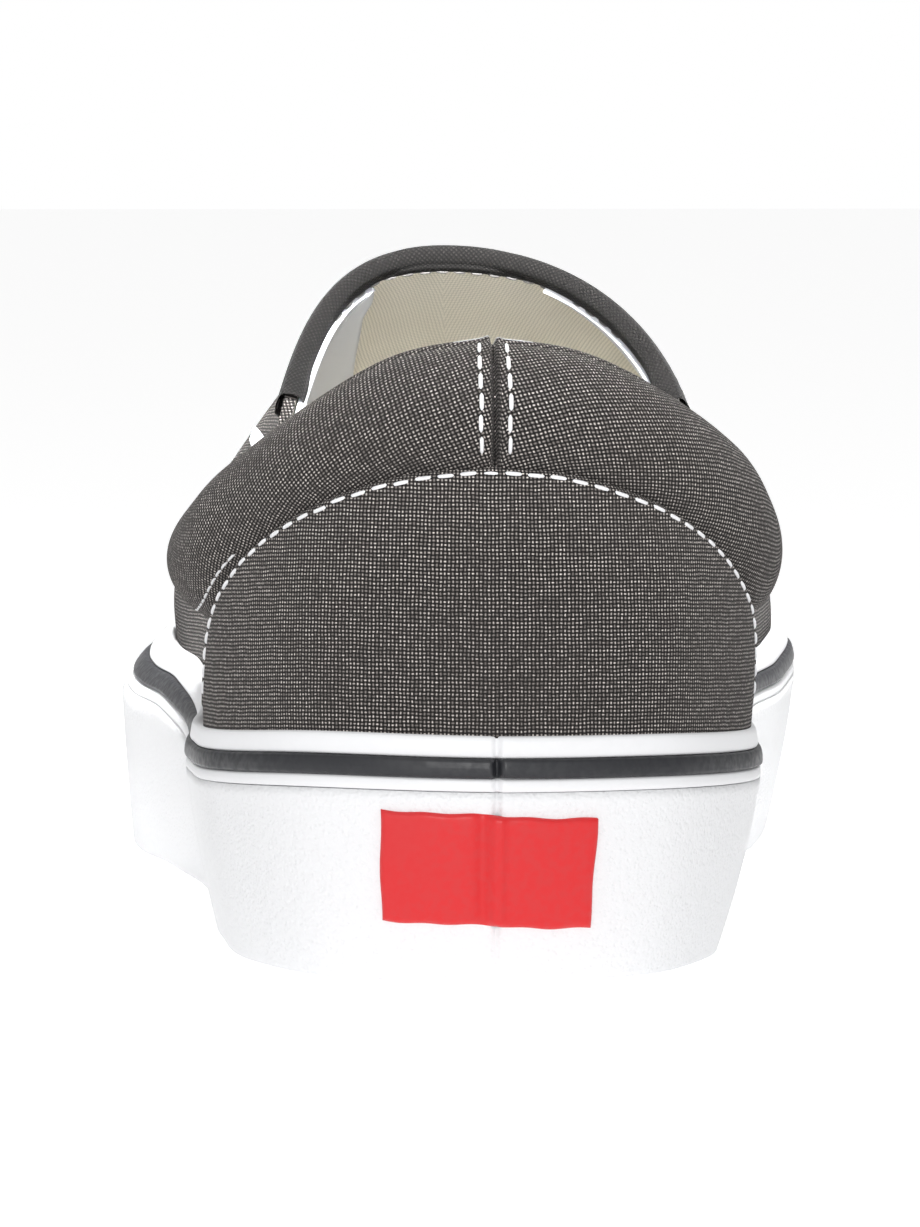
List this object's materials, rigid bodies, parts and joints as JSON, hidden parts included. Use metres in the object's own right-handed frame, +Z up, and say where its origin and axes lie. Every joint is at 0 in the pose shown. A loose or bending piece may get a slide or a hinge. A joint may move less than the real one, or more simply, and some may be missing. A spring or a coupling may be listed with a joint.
{
  "type": "slip-on sneaker",
  "caption": "Left canvas slip-on sneaker with padded collar, elastic side gores, bound throat and striped rubber sidewall, open for a foot.",
  "frame": {"origin": "on the floor, under the middle of the shoe's bounding box", "axes": "+Y towards the toe, +Z up, +X towards the medial side of this left shoe"},
  "size_m": [0.1075, 0.2886, 0.095],
  "materials": {
    "dark_canvas": "plain weave, matt",
    "counter_canvas": "plain weave, matt",
    "padded_canvas": "plain weave over padding, matt",
    "binding_tape": "folded woven tape, matt",
    "elastic": "ribbed elastic, matt",
    "footbed": "printed cloth over foam, matt",
    "white_rubber": "finely pebbled, satin",
    "white_tape": "smooth, satin",
    "dark_rubber": "smooth, satin",
    "red_rubber": "smooth, satin",
    "sole_rubber": "gum, matt"
  },
  "bodies": {
    "root": {"upper": "dark_canvas", "heel_counter": "counter_canvas", "padded_collar": "padded_canvas", "throat_binding": "binding_tape", "lateral_gore": "elastic", "medial_gore": "elastic", "insole": "footbed", "foxing": "white_rubber", "foxing_tape": "white_tape", "foxing_stripe": "dark_rubber", "heel_label": "red_rubber", "outsole": "sole_rubber"}
  },
  "joints": []
}
